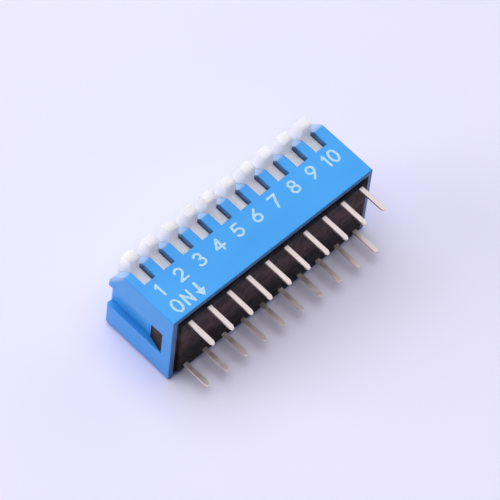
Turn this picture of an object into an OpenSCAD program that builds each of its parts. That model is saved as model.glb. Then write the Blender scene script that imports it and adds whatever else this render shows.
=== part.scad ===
// Ten-way piano-type DIP switch, through-hole, lying on its back.
// X runs along the row of levers, +Y points away from the board side,
// +Z comes up out of the numbered face. The origin is the middle of the back face.
// Profiles are drawn in a (h, z) plane: h is the height above the housing's rim and
// z the distance from the back face. span_x() turns such a profile into a solid.

/* [Pins] */
// Distance between neighbouring switches
pitch = 2.54; // [2.4:0.01:3]
// Distance between the two rows of pins
row_gap = 7.62; // [7.2:0.01:9]
// Width of a pin, along the row
pin_w = 0.5; // [0.4:0.01:0.6]
// Thickness of a pin and of its strip
pin_t = 0.25; // [0.2:0.01:0.3]
// How far a pin reaches below the rim of the housing
pin_len = 3.6; // [2.5:0.1:5]
// Length of the wedge at a pin's tip
pin_point = 0.3; // [0.1:0.05:0.5]

/* [Housing] */
// Outer switch's centre to the end of the housing
end_margin = 1.87; // [1.8:0.01:3]
// Front pins to the numbered face
front_margin = 1.14; // [1:0.01:2]
// Rear pins to the back face
back_margin = 1.6; // [1.3:0.01:2.5]
// Height of the housing from its rim to its top
body_tall = 8.9; // [8.7:0.1:10.5]
// Wall of the skirt that holds the base
wall = 0.55; // [0.45:0.05:0.7]
// Wall in front of the lever chambers, behind the numbered face
front_wall = 0.75; // [0.7:0.05:0.9]
// Wall behind the lever chambers
back_wall = 0.95; // [0.8:0.05:1.2]
// Thickness of the roof over the chambers
roof = 0.8; // [0.7:0.05:0.9]
// Radius of the edges between the back face and the top and ends
back_round = 0.5; // [0.2:0.05:0.8]
// Radius of the edges between the numbered face and the ends
face_round = 0.2; // [0.1:0.05:0.4]
// Radius of the edges round the rim and along the top of each end
edge_round = 0.15; // [0.05:0.01:0.25]
// How far the bevel over the numbered face reaches down from the top
brow_drop = 1.97; // [1.7:0.01:2.2]
// How far the bevel reaches back along the top
brow_back = 2.65; // [2.4:0.05:3]
// Drop of the bevel's upper facet
brow_step = 0.67; // [0.4:0.01:0.9]
// Width of a lever's slot and chamber, along the row
slot_w = 1.5; // [1.3:0.01:1.55]
// How far a lever, its slot and its contacts sit off its pins, towards the first lever
lever_aside = 0.2; // [0:0.01:0.25]
// Top of the housing down to the sill of a slot
slot_drop = 3.8; // [3.4:0.1:4.2]
// Hinge line back to the closed end of a slot in the roof
slot_behind = 0.85; // [0.8:0.05:1.2]

/* [Latches] */
// Width of the groove in each end wall
groove_w = 3.4; // [2:0.1:5]
// Depth of that groove
groove_deep = 0.66; // [0.6:0.01:0.72]
// Rim up to the sill of the latch window
latch_sill = 1.32; // [0.8:0.01:1.8]
// How far a latch's ledge stands out of the base
latch_out = 0.45; // [0.3:0.01:0.55]

/* [Base] */
// Rim up to the top of the base
base_top = 3.4; // [3:0.1:3.8]
// How far the base's border lies inside the rim
base_sunk = 0.12; // [0.05:0.01:0.3]
// How far the raised field between the pins stands out of the rim
field_proud = 0.3; // [0.1:0.01:0.5]
// Width of the trough around the raised field
field_inset = 0.32; // [0.2:0.01:0.4]
// Bevel along the edge of the raised field
field_bevel = 0.12; // [0.05:0.01:0.2]

/* [Levers] */
// Angle that a lever turns between off and on
travel = 20; // [16:1:22]
// Numbered face back to the levers' hinge line
pivot_in = 2.35; // [2.2:0.05:2.5]
// Top of the housing down to the hinge line
pivot_drop = 2.7; // [2.6:0.05:2.8]
// Radius of a lever's trunnions
pivot_r = 0.4; // [0.35:0.01:0.45]
// Radius of the hub around the trunnions
hub_r = 0.95; // [0.85:0.05:1]
// How far a key stands out of the numbered face
key_out = 1.25; // [0.8:0.05:1.5]
// Hinge line up to the underside of the key
key_rise = 1.05; // [0.95:0.05:1.15]
// Height of the key's end face
key_tall = 1.2; // [1:0.05:1.4]
// Radius along the edges of the key's end face
key_round = 0.28; // [0.1:0.01:0.4]
// Height of the lever's crown over the top of its key
crown = 0.3; // [0.2:0.05:0.4]
// How far the lip at the foot of the lever's face reaches below the sill of its slot
lip_hold = 0.25; // [0.15:0.05:0.4]
// Depth of that lip
lip_deep = 0.8; // [0.6:0.05:0.9]
// Length of the heel, whose flat top meets the roof with the lever on
heel_len = 1.3; // [1.1:0.05:1.5]
// Height of the heel
heel_tall = 0.6; // [0.4:0.05:0.8]

/* [Contacts] */
// Width of a contact clip and of the strips it wipes over
contact_w = 0.9; // [0.7:0.05:1]
// Thickness of the clip's sheet
sheet_t = 0.12; // [0.08:0.01:0.15]
// Outer radius of the clip's round nose
nose_r = 0.45; // [0.4:0.01:0.5]
// Gap between the front and the rear strip
strip_gap = 0.35; // [0.25:0.01:0.45]
// How far the strips stand out of the base
strip_proud = 0.08; // [0.04:0.01:0.12]

/* [Clearances] */
// Play beside a lever in its chamber
side_gap = 0.1; // [0.06:0.01:0.15]
// Play of a lever at its two stops, the numbered wall and the roof
stop_gap = 0.06; // [0.04:0.01:0.1]
// Radial play of a trunnion
pivot_fit = 0.04; // [0.02:0.01:0.08]
// Depth of a trunnion's bearing in the wall beside it
bearing_deep = 0.28; // [0.2:0.01:0.32]
// Play at the end of a trunnion
end_play = 0.06; // [0.03:0.01:0.1]
// Play of the base in the skirt and of a latch in its window
base_fit = 0.04; // [0.02:0.01:0.08]
// Play of the contact clip on the lever's foot
clip_fit = 0.02; // [0.01:0.01:0.04]
// Smallest gap between the clip's nose and the strips
wipe_gap = 0.03; // [0.02:0.01:0.06]

/* [Hidden] */
WAYS = 10;
function names(kind) = [for (i = [1:WAYS]) str(kind, "_", i)];

$fn = 48;
EPS = 0.01;
PAST = 1;

body_len = (WAYS - 1) * pitch + 2 * end_margin;
body_deep = back_margin + row_gap + front_margin;
rear_row = back_margin;
front_row = back_margin + row_gap;

pivot_h = body_tall - pivot_drop;
pivot_z = body_deep - pivot_in;
bearing_r = pivot_r + pivot_fit;
bearing_w = slot_w + 2 * bearing_deep;
lever_w = slot_w - 2 * side_gap;
trunnion_w = bearing_w - 2 * end_play;
// Depth of the lever's face, from the hinge line
face_reach = pivot_in - front_wall - stop_gap;
key_reach = pivot_in + key_out;

strip_top = base_top + strip_proud;
// Hinge line to the centre of the clip's nose; the nose only just clears the strips
nose_reach = pivot_h - strip_top - wipe_gap - nose_r;
foot_tilt = travel / 2;
// With the lever on, the nose lies in the gap between the strips
gap_z = pivot_z - nose_reach * sin(foot_tilt);

base_half = body_len / 2 - wall - base_fit;
base_low = wall + base_fit;
base_high = body_deep - wall - base_fit;

// Where the pins and the levers stand along the row
function pin_x(i) = (i - 1 - (WAYS - 1) / 2) * pitch;
function lever_x(i) = pin_x(i) - lever_aside;

// A point of a profile turned around the hinge line, positive towards on
function turned(p, a) = [p[0] * cos(a) - p[1] * sin(a), p[0] * sin(a) + p[1] * cos(a)];

// Moves a shape drawn from the rim to the origin at the middle of the back face
module from_rim() {
    translate([0, -body_tall / 2, 0]) children();
}

// Extrudes a (h, z) profile over a width along X
module span_x(width) {
    rotate([90, 0, 90]) linear_extrude(height = width, center = true) children();
}

// Raises an (x, z) profile along Y
module span_y(height) {
    rotate([-90, 0, 0]) mirror([0, 1, 0]) linear_extrude(height = height) children();
}

// What a rounded edge takes off a square corner at the origin, solid to +x and +y
module corner_waste(r) {
    difference() {
        translate([-PAST, -PAST]) square(r + PAST);
        translate([r, r]) circle(r);
    }
}

// Rectangle centred along x and standing on it, with a radius low and a radius high
module rounded_block(width, height, low_r, high_r) {
    difference() {
        translate([-width / 2, 0]) square([width, height]);
        for (side = [0, 1]) mirror([side, 0]) {
            translate([-width / 2, 0]) corner_waste(low_r);
            translate([-width / 2, height]) mirror([0, 1]) corner_waste(high_r);
        }
    }
}

// ---------------------------------------------------------------- housing

module housing_profile() {
    difference() {
        polygon([
            [0, 0],
            [body_tall, 0],
            [body_tall, body_deep - brow_back],
            [body_tall - brow_step, body_deep - (brow_drop - brow_step)],
            [body_tall - brow_drop, body_deep],
            [0, body_deep]
        ]);
        translate([body_tall, 0]) mirror([1, 0]) corner_waste(back_round);
        corner_waste(edge_round);
        translate([0, body_deep]) mirror([0, 1]) corner_waste(edge_round);
    }
}

// Chamber of one lever, with its slot through the numbered face and the roof
module chamber_profile() {
    polygon([
        [base_top - EPS, back_wall],
        [body_tall - roof, back_wall],
        [body_tall - roof, pivot_z - slot_behind],
        [body_tall + PAST, pivot_z - slot_behind],
        [body_tall + PAST, body_deep + PAST],
        [body_tall - slot_drop, body_deep + PAST],
        [body_tall - slot_drop, body_deep - front_wall],
        [base_top - EPS, body_deep - front_wall]
    ]);
}

// Bearing slot that a trunnion slides up into from below
module bearing_profile() {
    translate([pivot_h, pivot_z]) circle(bearing_r);
    translate([base_top - EPS, pivot_z - bearing_r]) square([pivot_h - base_top + EPS, 2 * bearing_r]);
}

module housing_shell() {
    intersection() {
        span_x(body_len) housing_profile();
        span_y(body_tall) rounded_block(body_len, body_deep, back_round, face_round);
        linear_extrude(height = body_deep) rounded_block(body_len, body_tall, edge_round, edge_round);
    }
}

module housing() {
    color("dodgerblue") from_rim() difference() {
        housing_shell();
        translate([wall - body_len / 2, -PAST, wall])
            cube([body_len - 2 * wall, base_top + PAST, body_deep - 2 * wall]);
        for (i = [1:WAYS]) translate([lever_x(i), 0, 0]) {
            span_x(slot_w) chamber_profile();
            span_x(bearing_w) bearing_profile();
        }
        for (side = [0, 1]) mirror([side, 0, 0])
            translate([-body_len / 2 - PAST, latch_sill, (body_deep - groove_w) / 2]) {
                cube([groove_deep + PAST, body_tall - latch_sill + PAST, groove_w]);
                cube([wall + PAST + EPS, base_top - latch_sill, groove_w]);
            }
    }
}

// ------------------------------------------------------------------- base

// Wedge that snaps into the window at one end: a ledge below, a slope above
module latch() {
    latch_low = latch_sill + base_fit;
    translate([-base_half, 0, body_deep / 2])
        linear_extrude(height = groove_w - 2 * base_fit, center = true)
            polygon([
                [EPS, latch_low],
                [-latch_out, latch_low],
                [-latch_out, latch_low + latch_out],
                [0, base_top],
                [EPS, base_top]
            ]);
}

module raised_field() {
    field_half = base_half - field_inset;
    field_low = base_low + field_inset;
    field_high = base_high - field_inset;
    intersection() {
        span_x(2 * field_half) polygon([
            [base_sunk + EPS, field_low],
            [base_sunk + EPS, field_high],
            [field_bevel - field_proud, field_high],
            [-field_proud, field_high - field_bevel],
            [-field_proud, field_low + field_bevel],
            [field_bevel - field_proud, field_low]
        ]);
        linear_extrude(height = body_deep) polygon([
            [-field_half, base_sunk + EPS],
            [field_half, base_sunk + EPS],
            [field_half, field_bevel - field_proud],
            [field_half - field_bevel, -field_proud],
            [field_bevel - field_half, -field_proud],
            [-field_half, field_bevel - field_proud]
        ]);
    }
}

module base() {
    color("#1c1c1e") from_rim() difference() {
        union() {
            translate([-base_half, base_sunk, base_low])
                cube([2 * base_half, base_top - base_sunk, base_high - base_low]);
            raised_field();
            for (side = [0, 1]) mirror([side, 0, 0]) latch();
        }
        for (i = [1:WAYS]) translate([pin_x(i), 0, 0]) {
            front_strip();
            rear_strip();
        }
    }
}

// -------------------------------------------------------------- terminals

// Pin with a wedge-shaped tip, from below the rim up into the base
module pin_leg(row) {
    translate([0, -pin_len, row]) {
        translate([-pin_w / 2, pin_point, -pin_t / 2])
            cube([pin_w, pin_len - pin_point + strip_top, pin_t]);
        linear_extrude(height = pin_t, center = true) polygon([
            [-pin_w / 2, pin_point],
            [-pin_w / 4, 0],
            [pin_w / 4, 0],
            [pin_w / 2, pin_point]
        ]);
    }
}

// Strip on top of the base under a lever's contact, from one z to another
module top_strip(from_z, to_z) {
    translate([-lever_aside - contact_w / 2, strip_top - pin_t, from_z])
        cube([contact_w, pin_t, to_z - from_z]);
}

module front_strip() {
    pin_leg(front_row);
    top_strip(gap_z + strip_gap / 2, front_row + pin_t / 2);
}

module rear_strip() {
    pin_leg(rear_row);
    top_strip(rear_row - pin_t / 2, gap_z - strip_gap / 2);
}

module front_terminal(i) {
    color("#e8dcb8") from_rim() translate([pin_x(i), 0, 0]) front_strip();
}

module rear_terminal(i) {
    color("#d8c89a") from_rim() translate([pin_x(i), 0, 0]) rear_strip();
}

// ----------------------------------------------------------------- levers

// Side view of a lever around its hinge line, in the off position
module lever_profile() {
    key_top = key_rise + key_tall;
    lip_drop = slot_drop - pivot_drop + lip_hold;
    stop_rise = pivot_drop - roof - stop_gap;
    stop_front = turned([stop_rise, 0], -travel);
    stop_back = turned([stop_rise, -heel_len], -travel);
    difference() {
        union() {
            circle(hub_r);
            polygon([
                [key_rise, key_reach],
                [key_top, key_reach],
                [key_top + crown, face_reach],
                [key_top + crown, 0],
                stop_front,
                stop_back,
                stop_back - [heel_tall, 0],
                [0, -hub_r],
                [-hub_r, 0],
                [-lip_drop, face_reach - lip_deep],
                [-lip_drop, face_reach],
                [key_rise, face_reach]
            ]);
        }
        translate([key_rise, key_reach]) mirror([0, 1]) corner_waste(key_round);
        translate([key_top, key_reach]) mirror([1, 1]) corner_waste(key_round);
        rotate(-foot_tilt) clip_room();
    }
}

// Room below the hub for the clip, pointing straight down from the hinge line
module clip_room() {
    half = nose_r + clip_fit;
    translate([-nose_reach - half, -half]) square([nose_reach + half - hub_r, 2 * half]);
}

// Foot that carries the clip, pointing straight down from the hinge line
module foot_profile() {
    half = nose_r - sheet_t - clip_fit;
    translate([-nose_reach, -half]) square([nose_reach, 2 * half]);
}

module lever(i) {
    color("white") from_rim() translate([lever_x(i), pivot_h, pivot_z]) {
        span_x(lever_w) lever_profile();
        span_x(contact_w) rotate(-foot_tilt) foot_profile();
        span_x(trunnion_w) circle(pivot_r);
    }
}

// ---------------------------------------------------------- contact clips

// U-shaped clip around the foot, closed by a round nose
module clip_profile() {
    clip_tall = nose_reach - hub_r - clip_fit;
    difference() {
        union() {
            circle(nose_r);
            translate([0, -nose_r]) square([clip_tall, 2 * nose_r]);
        }
        circle(nose_r - sheet_t);
        translate([0, sheet_t - nose_r]) square([clip_tall + PAST, 2 * (nose_r - sheet_t)]);
    }
}

module contact_clip(i) {
    color("goldenrod") from_rim() translate([lever_x(i), pivot_h, pivot_z])
        span_x(contact_w) rotate(-foot_tilt) translate([-nose_reach, 0]) clip_profile();
}

// --------------------------------------------------------------- assembly

housing();
base();
for (i = [1:WAYS]) lever(i);
for (i = [1:WAYS]) contact_clip(i);
for (i = [1:WAYS]) front_terminal(i);
for (i = [1:WAYS]) rear_terminal(i);
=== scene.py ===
"""Looks of a ten-way piano-type DIP switch, lying on its back on a pale floor."""
import math

import bmesh
import bpy
from mathutils import Matrix, Vector


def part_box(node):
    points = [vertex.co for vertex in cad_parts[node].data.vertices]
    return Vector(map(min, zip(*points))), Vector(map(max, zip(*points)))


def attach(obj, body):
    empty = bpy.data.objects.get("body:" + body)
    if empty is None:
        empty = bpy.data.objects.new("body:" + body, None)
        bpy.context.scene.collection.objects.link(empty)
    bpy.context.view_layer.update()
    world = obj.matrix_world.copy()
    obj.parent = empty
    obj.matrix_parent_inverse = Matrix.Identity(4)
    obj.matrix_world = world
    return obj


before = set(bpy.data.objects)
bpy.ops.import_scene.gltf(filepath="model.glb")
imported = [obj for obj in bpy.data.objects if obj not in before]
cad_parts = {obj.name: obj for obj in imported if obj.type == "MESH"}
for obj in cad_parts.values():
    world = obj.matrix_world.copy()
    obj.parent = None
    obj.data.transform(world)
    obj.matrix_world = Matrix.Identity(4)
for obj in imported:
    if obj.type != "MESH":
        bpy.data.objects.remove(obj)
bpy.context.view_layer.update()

MM = 0.001
WAYS = 10


# ------------------------------------------------------------------ nodes

# Sockets that a Mix node uses for colours
MIX_FACTOR, MIX_FIRST, MIX_SECOND = 0, 6, 7
MIX_RESULT = 2


class Shader:
    """A material and the short calls that fill its node tree."""

    def __init__(self, name):
        self.material = bpy.data.materials.new(name)
        self.material.use_nodes = True
        self.tree = self.material.node_tree
        self.surface = self.tree.nodes["Principled BSDF"]
        self.place = self.add("ShaderNodeTexCoord").outputs["Object"]

    def add(self, kind, **settings):
        node = self.tree.nodes.new(kind)
        for key, value in settings.items():
            setattr(node, key, value)
        return node

    def link(self, source, target):
        self.tree.links.new(source, target)

    def set(self, **sockets):
        """Sets values that are the same all over, straight on the surface's sockets."""
        for name, value in sockets.items():
            self.surface.inputs[name.replace("_", " ")].default_value = value

    def axis(self, name):
        """The object's own coordinate along one axis, in metres."""
        node = self.add("ShaderNodeSeparateXYZ")
        self.link(self.place, node.inputs[0])
        return node.outputs[name]

    def aside(self, name):
        """How far the surface lies from the object's origin along one axis, in metres."""
        node = self.add("ShaderNodeMath", operation="ABSOLUTE")
        self.link(self.axis(name), node.inputs[0])
        return node.outputs[0]

    def along(self, direction):
        """The object's own coordinate along a direction, in metres."""
        node = self.add("ShaderNodeVectorMath", operation="DOT_PRODUCT")
        self.link(self.place, node.inputs[0])
        node.inputs[1].default_value = direction
        return node.outputs["Value"]

    def scaled(self, x, y, z):
        """The object's coordinates times a factor on each axis."""
        node = self.add("ShaderNodeMapping")
        node.inputs["Scale"].default_value = (x, y, z)
        self.link(self.place, node.inputs["Vector"])
        return node.outputs["Vector"]

    def noise(self, size_mm, detail=3.0, stretch=(1, 1, 1)):
        """Noise whose blobs measure about size_mm, drawn out along an axis by stretch."""
        per_metre = 1 / (size_mm * MM)
        node = self.add("ShaderNodeTexNoise")
        node.inputs["Scale"].default_value = 1.0
        node.inputs["Detail"].default_value = detail
        self.link(self.scaled(*(per_metre / s for s in stretch)), node.inputs["Vector"])
        return node.outputs["Fac"]

    def ramp(self, value, *stops):
        """Maps a value to colours; each stop is (position, colour or grey level)."""
        node = self.add("ShaderNodeValToRGB")
        band = node.color_ramp
        while len(band.elements) < len(stops):
            band.elements.new(0.5)
        for element, (position, colour) in zip(band.elements, stops):
            element.position = position
            element.color = as_colour(colour)
        self.link(value, node.inputs["Fac"])
        return node.outputs["Color"]

    def levels(self, value, low, high, start=0.3, end=0.7):
        """Maps start..end to low..high; by default that is the middle range of a noise."""
        node = self.add("ShaderNodeMapRange")
        node.inputs["From Min"].default_value = start
        node.inputs["From Max"].default_value = end
        node.inputs["To Min"].default_value = low
        node.inputs["To Max"].default_value = high
        self.link(value, node.inputs["Value"])
        return node.outputs["Result"]

    def mix(self, factor, first, second, blend="MIX"):
        """Mixes two colours or grey levels; each of the three may be a socket or a value."""
        node = self.add("ShaderNodeMix", data_type="RGBA", blend_type=blend)
        for socket, value in ((MIX_FACTOR, factor), (MIX_FIRST, first), (MIX_SECOND, second)):
            if isinstance(value, bpy.types.NodeSocket):
                self.link(value, node.inputs[socket])
            else:
                plain = value if socket == MIX_FACTOR else as_colour(value)
                node.inputs[socket].default_value = plain
        return node.outputs[MIX_RESULT]

    def times(self, first, second):
        return self.mix(1.0, first, second, blend="MULTIPLY")

    def bump(self, height, depth_mm, strength, under=None):
        """Lets a height of depth_mm disturb the surface; bumps can be stacked."""
        node = self.add("ShaderNodeBump")
        node.inputs["Distance"].default_value = depth_mm * MM
        node.inputs["Strength"].default_value = strength
        self.link(height, node.inputs["Height"])
        if under is not None:
            self.link(under, node.inputs["Normal"])
        return node.outputs["Normal"]

    def edge(self, radius_mm):
        """Normal that rounds the edges it passes by radius_mm."""
        node = self.add("ShaderNodeBevel", samples=6)
        node.inputs["Radius"].default_value = radius_mm * MM
        return node.outputs["Normal"]

    def openness(self, reach_mm):
        """1 in the open, falling towards 0 where other surfaces stand within reach_mm."""
        node = self.add("ShaderNodeAmbientOcclusion", samples=8)
        node.inputs["Distance"].default_value = reach_mm * MM
        return node.outputs["AO"]

    def colour(self, socket):
        self.link(socket, self.surface.inputs["Base Color"])

    def roughness(self, socket):
        self.link(socket, self.surface.inputs["Roughness"])

    def normal(self, socket):
        self.link(socket, self.surface.inputs["Normal"])

    def coat(self, socket):
        self.link(socket, self.surface.inputs["Coat Weight"])


def linear(level):
    """An 8-bit sRGB level as linear light."""
    v = level / 255
    return v / 12.92 if v <= 0.04045 else ((v + 0.055) / 1.055) ** 2.4


def srgb(r, g, b):
    return (linear(r), linear(g), linear(b), 1.0)


def as_colour(value):
    return (value, value, value, 1.0) if isinstance(value, (int, float)) else value


# ----------------------------------------------------------- blue housing

BLUE_DEEPER, BLUE = srgb(56, 156, 234), srgb(64, 164, 242)
# Colour of the painted shade deep in the slots, in the grooves and at the underside's rim
BLUE_IN_SHADE = srgb(6, 42, 92)
# Colour of the painted pale highlight on the brow, standing in for the backdrop's reflection
BLUE_PAINTED_HIGHLIGHT = srgb(212, 236, 247)

# The brow's bevel takes these lengths off the face and off the roof, in mm
BROW_DROP = 1.97
BROW_BACK = 2.65
# The brow's polish and its painted pale highlight reach this far under its surface, in mm
BROW_SKIN = 0.4
# They set in round the brow's lower edge and are full from these heights on, along Y in mm
POLISH_FROM, POLISH_FULL = 2.1, 3.0
PAINTED_HIGHLIGHT_FROM, PAINTED_HIGHLIGHT_FULL = 2.3, 2.8
# How much of the painted pale highlight the brow gets at most
PAINTED_HIGHLIGHT_SHARE = 0.3

# How far off a surface still casts painted shade on another, in mm
SHADE_REACH = 1.3
# How open a slot is where its painted shade is darkest and where none is painted, and the same for
# the grooves
SLOT_DARK, SLOT_PLAIN = 0.25, 0.8
GROOVE_DARK, GROOVE_PLAIN = 0.2, 0.9
# The grooves keep at least this share of their colour under the painted shade
GROOVE_LIGHT = 0.75
# What lies this near to an end belongs to its groove, and past the deeper one to the slots, in mm
END_SHALLOW, END_DEEP = 0.8, 1.1
# The underside's rim gets painted shade up to the first height over its edge and none from the
# second, in mm
RIM_DARK, RIM_PLAIN = 0.03, 0.12
# The rim keeps this share of its colour under the painted shade
RIM_LIGHT = 0.3


def up_the_brow(s, start, end, full=1.0):
    """0 off the bevelled brow; on it, rises from 0 at the start to full at the end, in mm along Y."""
    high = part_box("housing")[1]
    outwards = Vector((0, BROW_BACK, BROW_DROP)).normalized()
    surface = outwards.dot(Vector((0, high.y - BROW_DROP * MM, high.z)))
    on_brow = s.levels(s.along(outwards), 0.0, full, start=surface - BROW_SKIN * MM, end=surface)
    upward = s.levels(s.axis("Y"), 0.0, 1.0, start=start * MM, end=end * MM)
    return s.times(upward, on_brow)


def open_to_light(s):
    """Painted shade for the housing: 1 on open faces, less in the grooves and at the underside's rim,
    0 deep in the slots.
    """
    low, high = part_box("housing")
    above_rim = s.levels(
        s.axis("Y"), RIM_LIGHT, 1.0, start=low.y + RIM_DARK * MM, end=low.y + RIM_PLAIN * MM)
    near_end = s.levels(
        s.aside("X"), 0.0, 1.0, start=high.x - END_DEEP * MM, end=high.x - END_SHALLOW * MM)
    light = s.openness(SHADE_REACH)
    in_slots = s.levels(light, 0.0, 1.0, start=SLOT_DARK, end=SLOT_PLAIN)
    in_grooves = s.levels(light, GROOVE_LIGHT, 1.0, start=GROOVE_DARK, end=GROOVE_PLAIN)
    return s.times(s.mix(near_end, in_slots, in_grooves), above_rim)


def blue_plastic():
    """Satin moulded thermoplastic, polished from the brow up; painted pale highlight on the brow,
    painted shade in slots, grooves and at the rim.
    """
    s = Shader("blue_moulded_plastic")
    clouds = s.noise(size_mm=4.0, detail=2.0, stretch=(3, 1, 1))
    plain = s.ramp(clouds, (0.3, BLUE_DEEPER), (0.7, BLUE))
    # Painted pale highlight on the brow
    with_painted_highlight = s.mix(up_the_brow(s, PAINTED_HIGHLIGHT_FROM, PAINTED_HIGHLIGHT_FULL, PAINTED_HIGHLIGHT_SHARE), plain, BLUE_PAINTED_HIGHLIGHT)
    polish = up_the_brow(s, POLISH_FROM, POLISH_FULL)
    # Painted shade in the slots, grooves and at the rim, lifted where the brow is polished
    light = s.mix(polish, open_to_light(s), 1.0)
    s.colour(s.mix(light, BLUE_IN_SHADE, with_painted_highlight))
    s.roughness(s.levels(s.noise(size_mm=0.8), 0.29, 0.38))
    grain = s.noise(size_mm=0.3, detail=2.0)
    sinks = s.noise(size_mm=2.5, detail=1.0)
    grained = s.bump(grain, depth_mm=0.003, strength=0.4, under=s.edge(radius_mm=0.04))
    s.normal(s.bump(sinks, depth_mm=0.012, strength=0.5, under=grained))
    s.coat(polish)
    s.set(Coat_Roughness=0.08, Coat_IOR=1.8)
    return s.material


# -------------------------------------------------------- other materials

# The black base's depth along Z in mm, and its tones at parts of that depth: a brownish hue of its
# own, lighter between the pin rows as painted light and darker towards the back and the face as
# painted shade
BLACK_DEPTH = 10
BLACK_PAINTED_TONES = ((0.38, srgb(16, 6, 6)), (0.54, srgb(80, 58, 58)),
               (0.76, srgb(78, 60, 60)), (0.95, srgb(38, 36, 42)))
BLACK_FIBRE = srgb(96, 88, 90)
WHITE_DUSKY, WHITE = srgb(235, 232, 234), srgb(240, 237, 239)
PLATE_DUSKY, PLATE = srgb(240, 228, 212), srgb(247, 237, 224)
SPRING_DUSKY, SPRING = srgb(226, 182, 96), srgb(238, 198, 116)
INK_THIN, INK = srgb(152, 204, 240), srgb(196, 226, 246)
FLOOR_DUSKY, FLOOR = srgb(232, 229, 252), srgb(234, 231, 254)


def black_plastic():
    """Matte glass-filled thermoplastic with pale fibre ends, brownish, with painted light between the
    pin rows and painted shade towards the back and the face.
    """
    s = Shader("black_moulded_plastic")
    # Painted light and shade along Z over a brownish hue
    painted_tone = s.ramp(s.levels(s.axis("Z"), 0.0, 1.0, start=0.0, end=BLACK_DEPTH * MM), *BLACK_PAINTED_TONES)
    patches = s.ramp(s.noise(size_mm=1.1), (0.38, 0.4), (0.62, 1.0))
    ends = s.levels(s.noise(size_mm=0.12, detail=2.0, stretch=(5, 1, 1)), 0.0, 1.0)
    fibres = s.ramp(ends, (0.7, 0.0), (1.0, 0.35))
    s.colour(s.mix(fibres, s.times(painted_tone, patches), BLACK_FIBRE))
    s.roughness(s.levels(s.noise(size_mm=0.5), 0.62, 0.8))
    grain = s.noise(size_mm=0.1, detail=4.0, stretch=(3, 1, 1))
    s.normal(s.bump(grain, depth_mm=0.01, strength=0.6, under=s.edge(radius_mm=0.06)))
    s.set(Specular_IOR_Level=0.15)
    return s.material


def white_plastic():
    """Smooth white nylon that lets some light through."""
    s = Shader("white_lever_plastic")
    s.colour(s.ramp(s.noise(size_mm=1.5, detail=2.0), (0.3, WHITE_DUSKY), (0.7, WHITE)))
    s.roughness(s.levels(s.noise(size_mm=0.4), 0.28, 0.42))
    grain = s.noise(size_mm=0.15)
    s.normal(s.bump(grain, depth_mm=0.004, strength=0.5, under=s.edge(radius_mm=0.05)))
    s.surface.subsurface_method = "BURLEY"
    s.set(Subsurface_Weight=1.0, Subsurface_Scale=2.4 * MM, Subsurface_Radius=(1.0, 0.95, 0.95))
    return s.material


def gold_plate():
    """Thin pale gold over stamped copper alloy, drawn lengthwise."""
    s = Shader("gold_plated_terminal")
    drawn = s.noise(size_mm=0.06, detail=2.0, stretch=(1, 30, 1))
    patches = s.noise(size_mm=0.9, detail=2.0)
    s.colour(s.ramp(patches, (0.35, PLATE_DUSKY), (0.65, PLATE)))
    s.roughness(s.levels(patches, 0.3, 0.45))
    s.normal(s.bump(drawn, depth_mm=0.003, strength=0.6, under=s.edge(radius_mm=0.04)))
    s.set(Metallic=1.0)
    return s.material


def gold_spring():
    """Rich gold over thin spring strip."""
    s = Shader("gold_plated_spring")
    drawn = s.noise(size_mm=0.05, detail=2.0, stretch=(1, 12, 12))
    s.colour(s.ramp(s.noise(size_mm=0.5), (0.35, SPRING_DUSKY), (0.65, SPRING)))
    s.roughness(s.levels(drawn, 0.28, 0.42))
    s.normal(s.bump(drawn, depth_mm=0.002, strength=0.5))
    s.set(Metallic=1.0)
    return s.material


def white_ink():
    """Pad-printed ink, a little thin in places so that the blue shows through."""
    s = Shader("white_printed_ink")
    s.colour(s.ramp(s.noise(size_mm=0.2), (0.35, INK_THIN), (0.6, INK)))
    s.roughness(s.levels(s.noise(size_mm=0.3), 0.45, 0.6))
    s.normal(s.bump(s.noise(size_mm=0.08), depth_mm=0.003, strength=0.5))
    return s.material


def pale_floor():
    """Seamless backdrop paper."""
    s = Shader("pale_floor")
    s.colour(s.ramp(s.noise(size_mm=60), (0.4, FLOOR_DUSKY), (0.6, FLOOR)))
    s.roughness(s.levels(s.noise(size_mm=20), 0.7, 0.8))
    return s.material


# ----------------------------------------------------------------- frames

def dress(node, material):
    """Gives a CAD node its material, and leaves its mesh and place alone."""
    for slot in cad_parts[node].material_slots:
        slot.material = material


def dress_frame():
    blue, black, white = blue_plastic(), black_plastic(), white_plastic()
    plate, spring = gold_plate(), gold_spring()
    dress("housing", blue)
    dress("base", black)
    for way in range(1, WAYS + 1):
        dress(f"lever_{way}", white)
        dress(f"contact_clip_{way}", spring)
        dress(f"front_terminal_{way}", plate)
        dress(f"rear_terminal_{way}", plate)


# ------------------------------------------------------------------ print

# Width of a stroke, and how far the ink stands above the face and sinks into it, in mm
PRINT_WIDTH = 0.27
PRINT_HEIGHT = 0.02
# The row of numbers: step along X, shift of its middle, and height above the rim, in mm
PRINT_PITCH = 2.51
PRINT_ASIDE = -0.2
NUMBERS_ABOVE_RIM = 3.69
# Shift of the number 1, and of the two digits of 10, from their place in the row, in mm
ONE_ASIDE = -0.09
TEN_ASIDE = (-0.52, 0.4)
# The letters of ON: glyph, place along X and height above the rim, in mm
ON_LETTERS = [("O", -11.62, 1.34), ("N", -10.23, 1.33)]
# The arrow: its middle along X and above the rim, and its shaft and head round that, in mm
ARROW_X, ARROW_ABOVE_RIM = -8.74, 1.24
ARROW_WIDTH = 0.33
ARROW_SHAFT = [(0, 0.86), (0, -0.2)]
ARROW_HEAD = [(-0.55, 0.02), (0.0, -0.82), (0.55, 0.02)]
# The head stands a touch higher than a stroke
ARROW_HEIGHT = 1.05 * PRINT_HEIGHT
# Corners round a stroke
RING = 8
# Rings of a round end, in half widths: how far out each lies and how wide it is
ROUND_END = [(0.5, 0.87), (0.87, 0.5), (0.99, 0.12)]


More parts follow.
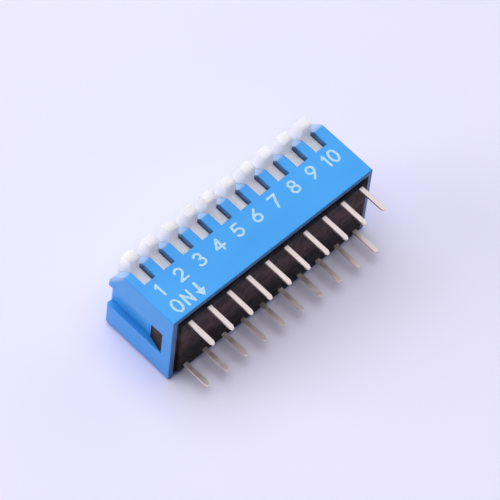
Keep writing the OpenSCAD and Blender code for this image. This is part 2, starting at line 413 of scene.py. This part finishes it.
def arc(x, y, wide, tall, start, end, steps=16):
    """Points along an elliptic arc, in degrees from the right, anticlockwise."""
    turns = [math.radians(start + (end - start) * i / steps) for i in range(steps + 1)]
    return [(x + wide * math.cos(t), y + tall * math.sin(t)) for t in turns]


def turned_over(strokes):
    return [[(-x, -y) for x, y in stroke] for stroke in strokes]


# Centre lines of the glyphs round their middle, drawn about 1.4 mm tall
SIX = [[(0.27, 0.69), (-0.08, 0.32), (-0.32, 0.0)] + arc(0, -0.3, 0.42, 0.4, 155, -205, 28)]
GLYPHS = {
    "0": [arc(0, 0, 0.42, 0.69, 90, 450, 32)],
    "1": [[(-0.26, 0.4), (0.0, 0.66)], [(0.0, 0.66), (0.0, -0.7)]],
    "2": [arc(0, 0.28, 0.41, 0.41, 165, -35) + [(-0.42, -0.68)], [(-0.42, -0.68), (0.46, -0.68)]],
    "3": [arc(0, 0.34, 0.37, 0.35, 150, -85), arc(0, -0.33, 0.43, 0.37, 85, -150)],
    "4": [[(0.16, 0.62), (-0.5, -0.3)], [(-0.5, -0.3), (0.56, -0.3)], [(0.2, 0.6), (0.2, -0.72)]],
    "5": [[(0.4, 0.67), (-0.24, 0.64)], [(-0.24, 0.64), (-0.36, 0.04)],
          [(-0.36, 0.04)] + arc(0.02, -0.29, 0.42, 0.41, 130, -150)],
    "6": SIX,
    "7": [[(-0.4, 0.65), (0.42, 0.67)], [(0.42, 0.67), (0.1, 0.0), (-0.14, -0.72)]],
    "8": [arc(0, 0.35, 0.35, 0.33, 90, 450, 28), arc(0, -0.34, 0.43, 0.37, 90, 450, 28)],
    "9": turned_over(SIX),
    "O": [arc(0, 0, 0.44, 0.72, 90, 450, 32)],
    "N": [[(-0.4, -0.68), (-0.4, 0.68)], [(-0.4, 0.68), (0.4, -0.68)], [(0.4, -0.68), (0.4, 0.68)]],
}


def with_round_ends(points, width):
    """A stroke as (x, y, half width) triples, with rings added that round its ends."""
    half = width / 2
    first, second = Vector(points[0]), Vector(points[1])
    last, before = Vector(points[-1]), Vector(points[-2])
    body = [(x, y, half) for x, y in points]
    closed = (first - last).length < half / 4
    if closed:
        return body
    back, on = (first - second).normalized(), (last - before).normalized()
    head = [(*(first + back * half * reach), half * wide) for reach, wide in reversed(ROUND_END)]
    tail = [(*(last + on * half * reach), half * wide) for reach, wide in ROUND_END]
    return head + body + tail


def stroke_rings(triples, middle, face):
    """Rings of a flattened tube along one stroke, half sunk in the face; the input is in mm."""
    rings = []
    for i, (x, y, half) in enumerate(triples):
        centre = Vector((x, y)) + Vector(middle)
        ahead = Vector(triples[min(i + 1, len(triples) - 1)][:2])
        behind = Vector(triples[max(i - 1, 0)][:2])
        along = (ahead - behind).normalized()
        side = Vector((-along.y, along.x))
        thick = PRINT_HEIGHT * half / (PRINT_WIDTH / 2)
        ring = []
        for k in range(RING):
            turn = 2 * math.pi * k / RING
            flat = centre + side * half * math.cos(turn)
            ring.append(Vector((flat.x, flat.y, face + thick * math.sin(turn))) * MM)
        rings.append(ring)
    return rings


def add_tube(mesh, rings):
    loops = [[mesh.verts.new(point) for point in ring] for ring in rings]
    for one, two in zip(loops, loops[1:]):
        for k in range(RING):
            j = (k + 1) % RING
            mesh.faces.new((one[k], one[j], two[j], two[k])).smooth = True
    mesh.faces.new(reversed(loops[0]))
    mesh.faces.new(loops[-1])


def add_plate(mesh, corners, bottom, top):
    """A flat plate with these corners; the input is in mm."""
    upper = [mesh.verts.new(Vector((x, y, top)) * MM) for x, y in corners]
    lower = [mesh.verts.new(Vector((x, y, bottom)) * MM) for x, y in corners]
    mesh.faces.new(upper)
    mesh.faces.new(reversed(lower))
    for i in range(len(corners)):
        j = (i + 1) % len(corners)
        mesh.faces.new((upper[i], upper[j], lower[j], lower[i]))


def finish_print(name, mesh, ink):
    """Makes a printed piece that rides on the case."""
    bmesh.ops.recalc_face_normals(mesh, faces=mesh.faces)
    data = bpy.data.meshes.new(name)
    mesh.to_mesh(data)
    mesh.free()
    data.materials.append(ink)
    piece = bpy.data.objects.new(name, data)
    bpy.context.scene.collection.objects.link(piece)
    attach(piece, "case")


def face_and_rim():
    """The numbered face's height along Z and its lower rim's along Y, in mm."""
    low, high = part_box("housing")
    return high.z / MM, low.y / MM


def print_glyphs(name, placed, ink):
    """One printed piece from (glyph, x, height above the rim) triples."""
    face, rim = face_and_rim()
    mesh = bmesh.new()
    for glyph, x, above_rim in placed:
        for stroke in GLYPHS[glyph]:
            triples = with_round_ends(stroke, PRINT_WIDTH)
            add_tube(mesh, stroke_rings(triples, (x, rim + above_rim), face))
    finish_print(name, mesh, ink)


def print_arrow(ink):
    """Arrow beside ON, pointing to the side that a key is pressed to."""
    face, rim = face_and_rim()
    middle = (ARROW_X, rim + ARROW_ABOVE_RIM)
    mesh = bmesh.new()
    add_tube(mesh, stroke_rings(with_round_ends(ARROW_SHAFT, ARROW_WIDTH), middle, face))
    corners = [(middle[0] + x, middle[1] + y) for x, y in ARROW_HEAD]
    add_plate(mesh, corners, face - PRINT_HEIGHT, face + ARROW_HEIGHT)
    finish_print("printed_arrow", mesh, ink)


def print_face():
    ink = white_ink()
    for way in range(1, WAYS + 1):
        x = (way - (WAYS + 1) / 2) * PRINT_PITCH + PRINT_ASIDE
        digits = [(str(way), x)]
        if way == 1:
            digits = [("1", x + ONE_ASIDE)]
        if way == 10:
            digits = [("1", x + TEN_ASIDE[0]), ("0", x + TEN_ASIDE[1])]
        print_glyphs(f"printed_{way}", [(glyph, at, NUMBERS_ABOVE_RIM) for glyph, at in digits], ink)
    print_glyphs("printed_on", ON_LETTERS, ink)
    print_arrow(ink)


# ------------------------------------------------------------------ stage

# The camera's distance is in mm, as its lens and sensor are; its angles are in degrees
CAMERA_AIM = Vector((0.54, -0.98, 5.0)) * MM
CAMERA_AZIMUTH = -50.28
CAMERA_ELEVATION = 57.34
CAMERA_ROLL = -7.52
CAMERA_DISTANCE = 437.4
CAMERA_LENS = 325.1
CAMERA_SENSOR = 36
# What the camera can see lies between these distances, in metres
CAMERA_NEAR, CAMERA_FAR = 0.01, 10

# Lamps: azimuth and elevation in degrees, diameter in metres, and watts
LAMP_DISTANCE = 0.7
LAMPS = {
    "top_light": (0, 88, 0.7, 2.72),
    "back_light": (180, 62, 0.6, 2.05),
    "right_light": (90, 40, 0.5, 0.55),
    "low_left_light": (-130, 20, 0.5, 2.1),
}
AMBIENT_COLOUR = (1.0, 0.94, 1.0, 1.0)
AMBIENT_STRENGTH = 0.05
BACKDROP_COLOUR = srgb(240, 237, 253)
# Half the floor's width, in metres
FLOOR_HALF = 1.0


def outward(azimuth, elevation):
    """Unit vector from the object towards a place around it, in degrees."""
    a, e = math.radians(azimuth), math.radians(elevation)
    return Vector((math.sin(a) * math.cos(e), -math.cos(a) * math.cos(e), math.sin(e)))


def make_camera():
    data = bpy.data.cameras.new("camera")
    data.lens = CAMERA_LENS
    data.sensor_width = CAMERA_SENSOR
    data.clip_start, data.clip_end = CAMERA_NEAR, CAMERA_FAR
    camera = bpy.data.objects.new("camera", data)
    back = outward(CAMERA_AZIMUTH, CAMERA_ELEVATION)
    upright = (-back).to_track_quat("-Z", "Y").to_matrix()
    turn = upright @ Matrix.Rotation(math.radians(-CAMERA_ROLL), 3, "Z")
    place = Matrix.Translation(CAMERA_AIM + back * CAMERA_DISTANCE * MM)
    camera.matrix_world = place @ turn.to_4x4()
    bpy.context.scene.collection.objects.link(camera)
    bpy.context.scene.camera = camera


def soft_light(name, azimuth, elevation, size, watts):
    """A wide lamp; in gloss and metal the pale backdrop shows in its place."""
    data = bpy.data.lights.new(name, "AREA")
    data.shape = "DISK"
    data.size = size
    data.energy = watts
    lamp = bpy.data.objects.new(name, data)
    lamp.visible_glossy = False
    away = outward(azimuth, elevation)
    lamp.location = away * LAMP_DISTANCE
    lamp.rotation_mode = "QUATERNION"
    lamp.rotation_quaternion = away.to_track_quat("Z", "Y")
    bpy.context.scene.collection.objects.link(lamp)


def make_world():
    """Weak even light from all round; the camera, gloss and transmission see the backdrop."""
    world = bpy.data.worlds.new("world")
    world.use_nodes = True
    tree = world.node_tree
    ambient = tree.nodes["Background"]
    ambient.inputs["Color"].default_value = AMBIENT_COLOUR
    ambient.inputs["Strength"].default_value = AMBIENT_STRENGTH
    backdrop = tree.nodes.new("ShaderNodeBackground")
    backdrop.inputs["Color"].default_value = BACKDROP_COLOUR
    rays = tree.nodes.new("ShaderNodeLightPath").outputs
    seen = rays["Is Camera Ray"]
    for kind in ("Is Glossy Ray", "Is Transmission Ray"):
        either = tree.nodes.new("ShaderNodeMath")
        either.operation = "MAXIMUM"
        tree.links.new(seen, either.inputs[0])
        tree.links.new(rays[kind], either.inputs[1])
        seen = either.outputs[0]
    pick = tree.nodes.new("ShaderNodeMixShader")
    tree.links.new(seen, pick.inputs[0])
    tree.links.new(ambient.outputs[0], pick.inputs[1])
    tree.links.new(backdrop.outputs[0], pick.inputs[2])
    tree.links.new(pick.outputs[0], tree.nodes["World Output"].inputs["Surface"])
    bpy.context.scene.world = world


def make_floor():
    mesh = bpy.data.meshes.new("floor")
    half = FLOOR_HALF
    corners = [(-half, -half, 0), (half, -half, 0), (half, half, 0), (-half, half, 0)]
    mesh.from_pydata(corners, [], [(0, 1, 2, 3)])
    mesh.materials.append(pale_floor())
    floor = bpy.data.objects.new("floor", mesh)
    bpy.context.scene.collection.objects.link(floor)


def make_stage():
    make_camera()
    make_world()
    make_floor()
    for name, lamp in LAMPS.items():
        soft_light(name, *lamp)
    bpy.context.scene.view_settings.view_transform = "Standard"


dress_frame()
print_face()
make_stage()
